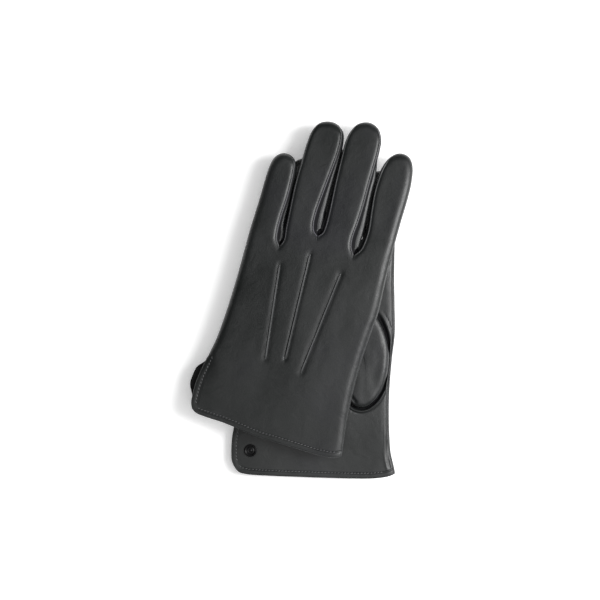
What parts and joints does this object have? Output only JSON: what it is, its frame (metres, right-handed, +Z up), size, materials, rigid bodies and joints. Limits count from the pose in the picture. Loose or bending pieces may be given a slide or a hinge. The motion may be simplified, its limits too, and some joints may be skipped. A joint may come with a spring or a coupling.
{
  "type": "pair of leather gloves",
  "caption": "Lined leather dress gloves lying palm to palm: stitched fingers, thumb, three raised points on the back, vented cuff and rivet.",
  "frame": {"origin": "middle of the pair's outline, on the surface that the lower glove lies on", "axes": "+X towards the thumbs' side, +Y from the cuffs to the fingertips along the right glove, +Z up from the surface"},
  "size_m": [0.1667, 0.2765, 0.0342],
  "materials": {
    "leather": "smooth semi-matt black lambskin",
    "lining": "matt black knitted lining",
    "thread": "waxed sewing thread",
    "rivet": "satin black"
  },
  "bodies": {
    "right_hand": {"right_back": "leather", "right_palm": "leather", "right_thumb_side_fold": "leather", "right_outer_seam": "leather", "right_quirks": "leather", "right_hem_facing": "leather", "right_vent_facing": "leather", "right_points": "leather", "right_hand_lining": "lining", "right_rivet_cap": "rivet", "right_rivet_post": "rivet"},
    "right_thumb": {"right_thumb_outer": "leather", "right_thumb_inner": "leather", "right_thumb_lining": "lining"},
    "right_little": {"right_little_back": "leather", "right_little_front": "leather", "right_little_fourchette": "leather", "right_little_lining": "lining"},
    "right_ring": {"right_ring_back": "leather", "right_ring_front": "leather", "right_ring_fourchette": "leather", "right_ring_lining": "lining"},
    "right_middle": {"right_middle_back": "leather", "right_middle_front": "leather", "right_middle_fourchette": "leather", "right_middle_lining": "lining"},
    "right_index": {"right_index_back": "leather", "right_index_front": "leather", "right_index_fourchette": "leather", "right_index_lining": "lining"},
    "left_hand": {"left_back": "leather", "left_palm": "leather", "left_thumb_side_fold": "leather", "left_outer_seam": "leather", "left_quirks": "leather", "left_hem_facing": "leather", "left_vent_facing": "leather", "left_points": "leather", "left_hand_lining": "lining", "left_rivet_cap": "rivet", "left_rivet_post": "rivet"},
    "left_thumb": {"left_thumb_outer": "leather", "left_thumb_inner": "leather", "left_thumb_lining": "lining"},
    "left_little": {"left_little_back": "leather", "left_little_front": "leather", "left_little_fourchette": "leather", "left_little_lining": "lining"},
    "left_ring": {"left_ring_back": "leather", "left_ring_front": "leather", "left_ring_fourchette": "leather", "left_ring_lining": "lining"},
    "left_middle": {"left_middle_back": "leather", "left_middle_front": "leather", "left_middle_fourchette": "leather", "left_middle_lining": "lining"},
    "left_index": {"left_index_back": "leather", "left_index_front": "leather", "left_index_fourchette": "leather", "left_index_lining": "lining"}
  },
  "joints": [
    {"name": "left_glove_lift", "type": "slide", "parent": "right_hand", "child": "left_hand", "axis": [0, 0, 1], "range_m": [0, 0.08]},
    {"name": "left_little_bend_back", "type": "hinge", "parent": "left_hand", "child": "left_little", "pos_m": [-0.03432, 0.04086, 0.02479], "axis": [0.9684, -0.2325, 0.0906], "range_deg": [0, 35]},
    {"name": "left_ring_bend_back", "type": "hinge", "parent": "left_hand", "child": "left_ring", "pos_m": [-0.00826, 0.04489, 0.02701], "axis": [0.9684, -0.2325, 0.0906], "range_deg": [0, 40]},
    {"name": "left_middle_bend_back", "type": "hinge", "parent": "left_hand", "child": "left_middle", "pos_m": [0.02332, 0.04245, 0.02985], "axis": [0.9684, -0.2325, 0.0906], "range_deg": [0, 40]},
    {"name": "left_index_bend_back", "type": "hinge", "parent": "left_hand", "child": "left_index", "pos_m": [0.05294, 0.0302, 0.03273], "axis": [0.9684, -0.2325, 0.0906], "range_deg": [0, 45]},
    {"name": "left_thumb_swing", "type": "hinge", "parent": "left_hand", "child": "left_thumb", "pos_m": [0.03158, -0.03615, 0.0202], "axis": [0.0881, -0.0212, -0.9959], "range_deg": [0, 38]},
    {"name": "right_little_spread", "type": "hinge", "parent": "right_hand", "child": "right_little", "pos_m": [-0.0316, 0.004, 0.0055], "axis": [0, 0, 1], "range_deg": [0, 12]},
    {"name": "right_ring_spread", "type": "hinge", "parent": "right_hand", "child": "right_ring", "pos_m": [-0.0071, 0.014, 0.0055], "axis": [0, 0, 1], "range_deg": [0, 4]},
    {"name": "right_middle_spread", "type": "hinge", "parent": "right_hand", "child": "right_middle", "pos_m": [0.0243, 0.019, 0.0055], "axis": [0, 0, 1], "range_deg": [-4, 0]},
    {"name": "right_index_spread", "type": "hinge", "parent": "right_hand", "child": "right_index", "pos_m": [0.0561, 0.014, 0.0055], "axis": [0, 0, 1], "range_deg": [-12, 0]},
    {"name": "right_thumb_swing", "type": "hinge", "parent": "right_hand", "child": "right_thumb", "pos_m": [0.0497, -0.0555, 0.012], "axis": [0, 0, -1], "range_deg": [0, 38]}
  ],
  "couplings": [
    {"joint": "right_ring_spread", "follows": "right_little_spread", "ratio": 0.33},
    {"joint": "right_middle_spread", "follows": "right_little_spread", "ratio": -0.33},
    {"joint": "right_index_spread", "follows": "right_little_spread", "ratio": -1}
  ]
}
